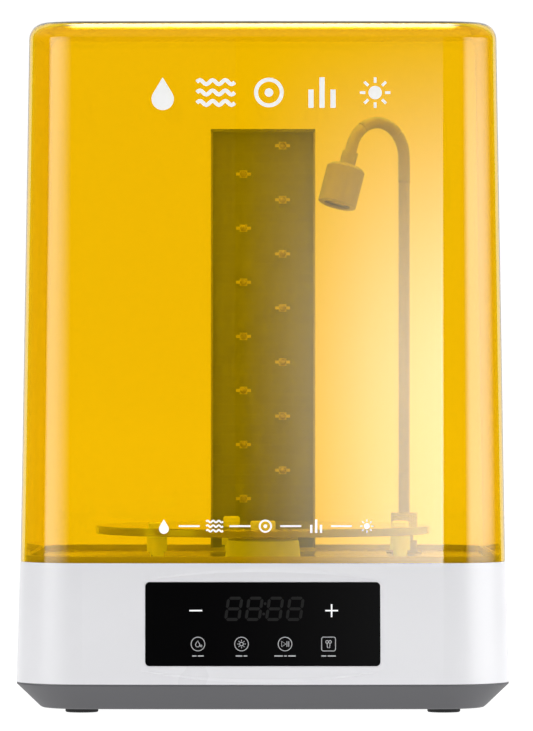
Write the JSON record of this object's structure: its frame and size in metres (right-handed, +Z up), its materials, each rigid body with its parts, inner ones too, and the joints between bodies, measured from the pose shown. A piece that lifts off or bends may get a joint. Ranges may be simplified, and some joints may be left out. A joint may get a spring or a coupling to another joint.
{
  "type": "resin wash station",
  "caption": "Bench station that washes and cures resin prints: white base with a touch panel, motor-driven turntable, LED column and bendable lamp under a lift-off amber hood.",
  "frame": {"origin": "centre of the footprint on the surface it stands on", "axes": "+Z up, -Y towards the front with the touch panel, +X to the right seen from the front"},
  "size_m": [0.3092, 0.2685, 0.4315],
  "materials": {
    "dark_plastic": "fine matt texture",
    "black_rubber": "matt",
    "white_plastic": "satin",
    "panel_glass": "polished",
    "circuit_board": "satin solder mask",
    "black_plastic": "satin",
    "deck_plastic": "fine matt texture",
    "seal_rubber": "matt",
    "motor_case": "zinc plated",
    "steel": "zinc plated",
    "column_aluminium": "anodised satin",
    "column_cap": "satin",
    "led_board": "satin solder mask",
    "led_ceramic": "satin",
    "led_dome": "clear",
    "led_lead": "tinned",
    "wire_jacket": "satin",
    "magnet": "nickel plated",
    "neck_cover": "satin",
    "lamp_body": "satin",
    "lamp_clear": "clear",
    "light_plastic": "satin",
    "gear_plastic": "satin",
    "bush_brass": "turned",
    "clear_acrylic": "polished clear",
    "wheel_plastic": "satin",
    "amber_acrylic": "polished clear amber"
  },
  "bodies": {
    "base": {"bottom_pan": "dark_plastic", "rubber_feet": "black_rubber", "base_shell": "white_plastic", "control_panel": "panel_glass", "display_board": "circuit_board", "display_module": "black_plastic", "touch_pads": "seal_rubber", "deck_plate": "deck_plastic", "deck_seal": "seal_rubber", "drive_motor": "motor_case", "motor_bracket": "steel", "main_board": "circuit_board", "board_components": "black_plastic", "power_socket": "black_plastic", "switch_body": "black_plastic", "base_screws": "steel", "column_housing": "column_aluminium", "column_foot": "black_plastic", "column_cap": "column_cap", "led_board": "led_board", "led_packages": "led_ceramic", "led_domes": "led_dome", "led_leads": "led_lead", "lamp_socket": "black_plastic", "wiring": "wire_jacket"},
    "drive_rotor": {"motor_shaft": "steel", "magnet_disc": "black_plastic", "drive_magnets": "magnet"},
    "rocker": {"power_rocker": "black_plastic"},
    "lamp_stand": {"lamp_plug": "black_plastic", "lamp_nut": "steel", "lamp_pole": "neck_cover"},
    "neck_lower": {"neck_link_1": "neck_cover"},
    "neck_upper": {"neck_link_2": "neck_cover"},
    "lamp_head": {"lamp_sleeve": "lamp_body", "lamp_head_shell": "lamp_body", "lamp_bezel": "lamp_body", "lamp_lens": "lamp_clear", "lamp_board": "circuit_board", "lamp_led": "led_ceramic"},
    "turntable_unit": {"turntable_housing": "light_plastic", "turntable_axle": "steel", "gear_plate": "light_plastic", "idler_pins": "steel"},
    "unit_rotor": {"magnetic_rotor": "gear_plastic", "rotor_magnets": "magnet"},
    "idler_1": {"idler_gear_1": "gear_plastic"},
    "idler_2": {"idler_gear_2": "gear_plastic"},
    "idler_3": {"idler_gear_3": "gear_plastic"},
    "turntable": {"turntable_hub": "gear_plastic", "turntable_bush": "bush_brass", "turntable_disc": "clear_acrylic", "centre_cap": "light_plastic", "turntable_feet": "light_plastic", "wheel_axles": "steel", "foot_caps": "light_plastic"},
    "wheel_1": {"wheel_1": "wheel_plastic"},
    "wheel_2": {"wheel_2": "wheel_plastic"},
    "wheel_3": {"wheel_3": "wheel_plastic"},
    "hood": {"hood": "amber_acrylic"}
  },
  "joints": [
    {"name": "hood_lift", "type": "slide", "parent": "base", "child": "hood", "axis": [0, 0, 1], "range_m": [0, 0.34]},
    {"name": "turntable_lift", "type": "slide", "parent": "base", "child": "turntable_unit", "axis": [0, 0, 1], "range_m": [0, 0.15]},
    {"name": "turntable_spin", "type": "hinge", "parent": "turntable_unit", "child": "turntable", "pos_m": [0, -0.012, 0.1], "axis": [0, 0, 1], "continuous": true},
    {"name": "drive_spin", "type": "hinge", "parent": "base", "child": "drive_rotor", "pos_m": [0, -0.012, 0.08], "axis": [0, 0, 1], "continuous": true},
    {"name": "rotor_spin", "type": "hinge", "parent": "turntable_unit", "child": "unit_rotor", "pos_m": [0, -0.012, 0.1], "axis": [0, 0, 1], "continuous": true},
    {"name": "idler_1_spin", "type": "hinge", "parent": "turntable_unit", "child": "idler_1", "pos_m": [0, -0.0003, 0.1], "axis": [0, 0, 1], "continuous": true},
    {"name": "idler_2_spin", "type": "hinge", "parent": "turntable_unit", "child": "idler_2", "pos_m": [-0.01013, -0.01785, 0.1], "axis": [0, 0, 1], "continuous": true},
    {"name": "idler_3_spin", "type": "hinge", "parent": "turntable_unit", "child": "idler_3", "pos_m": [0.01013, -0.01785, 0.1], "axis": [0, 0, 1], "continuous": true},
    {"name": "wheel_1_spin", "type": "hinge", "parent": "turntable", "child": "wheel_1", "pos_m": [0.08702, -0.03861, 0.0972], "axis": [0.9563, -0.2924, 0], "continuous": true},
    {"name": "wheel_2_spin", "type": "hinge", "parent": "turntable", "child": "wheel_2", "pos_m": [-0.02047, 0.07667, 0.0972], "axis": [-0.225, 0.9744, 0], "continuous": true},
    {"name": "wheel_3_spin", "type": "hinge", "parent": "turntable", "child": "wheel_3", "pos_m": [-0.06655, -0.07406, 0.0972], "axis": [-0.7314, -0.682, 0], "continuous": true},
    {"name": "power_switch", "type": "hinge", "parent": "base", "child": "rocker", "pos_m": [0.096, 0.13, 0.048], "axis": [1, 0, 0], "range_deg": [0, 20]},
    {"name": "lamp_swivel", "type": "hinge", "parent": "base", "child": "lamp_stand", "pos_m": [0.0915, 0.062, 0.1], "axis": [0, 0, 1], "range_deg": [-25, 60]},
    {"name": "neck_bend_lower", "type": "hinge", "parent": "lamp_stand", "child": "neck_lower", "pos_m": [0.0915, 0.062, 0.351], "axis": [0.6293, -0.7771, 0], "range_deg": [-10, 10]},
    {"name": "neck_bend_top", "type": "hinge", "parent": "neck_lower", "child": "neck_upper", "pos_m": [0.07401, 0.04784, 0.3735], "axis": [0.6293, -0.7771, 0], "range_deg": [-20, 15]},
    {"name": "neck_bend_head", "type": "hinge", "parent": "neck_upper", "child": "lamp_head", "pos_m": [0.05743, 0.03441, 0.35814], "axis": [0.6293, -0.7771, 0], "range_deg": [-25, 15]}
  ],
  "couplings": [
    {"joint": "drive_spin", "follows": "turntable_spin", "ratio": -9.5625},
    {"joint": "rotor_spin", "follows": "turntable_spin", "ratio": -9.5625},
    {"joint": "idler_1_spin", "follows": "turntable_spin", "ratio": 4.25},
    {"joint": "idler_2_spin", "follows": "turntable_spin", "ratio": 4.25},
    {"joint": "idler_3_spin", "follows": "turntable_spin", "ratio": 4.25},
    {"joint": "wheel_1_spin", "follows": "turntable_spin", "ratio": -35},
    {"joint": "wheel_2_spin", "follows": "turntable_spin", "ratio": -35},
    {"joint": "wheel_3_spin", "follows": "turntable_spin", "ratio": -35}
  ]
}
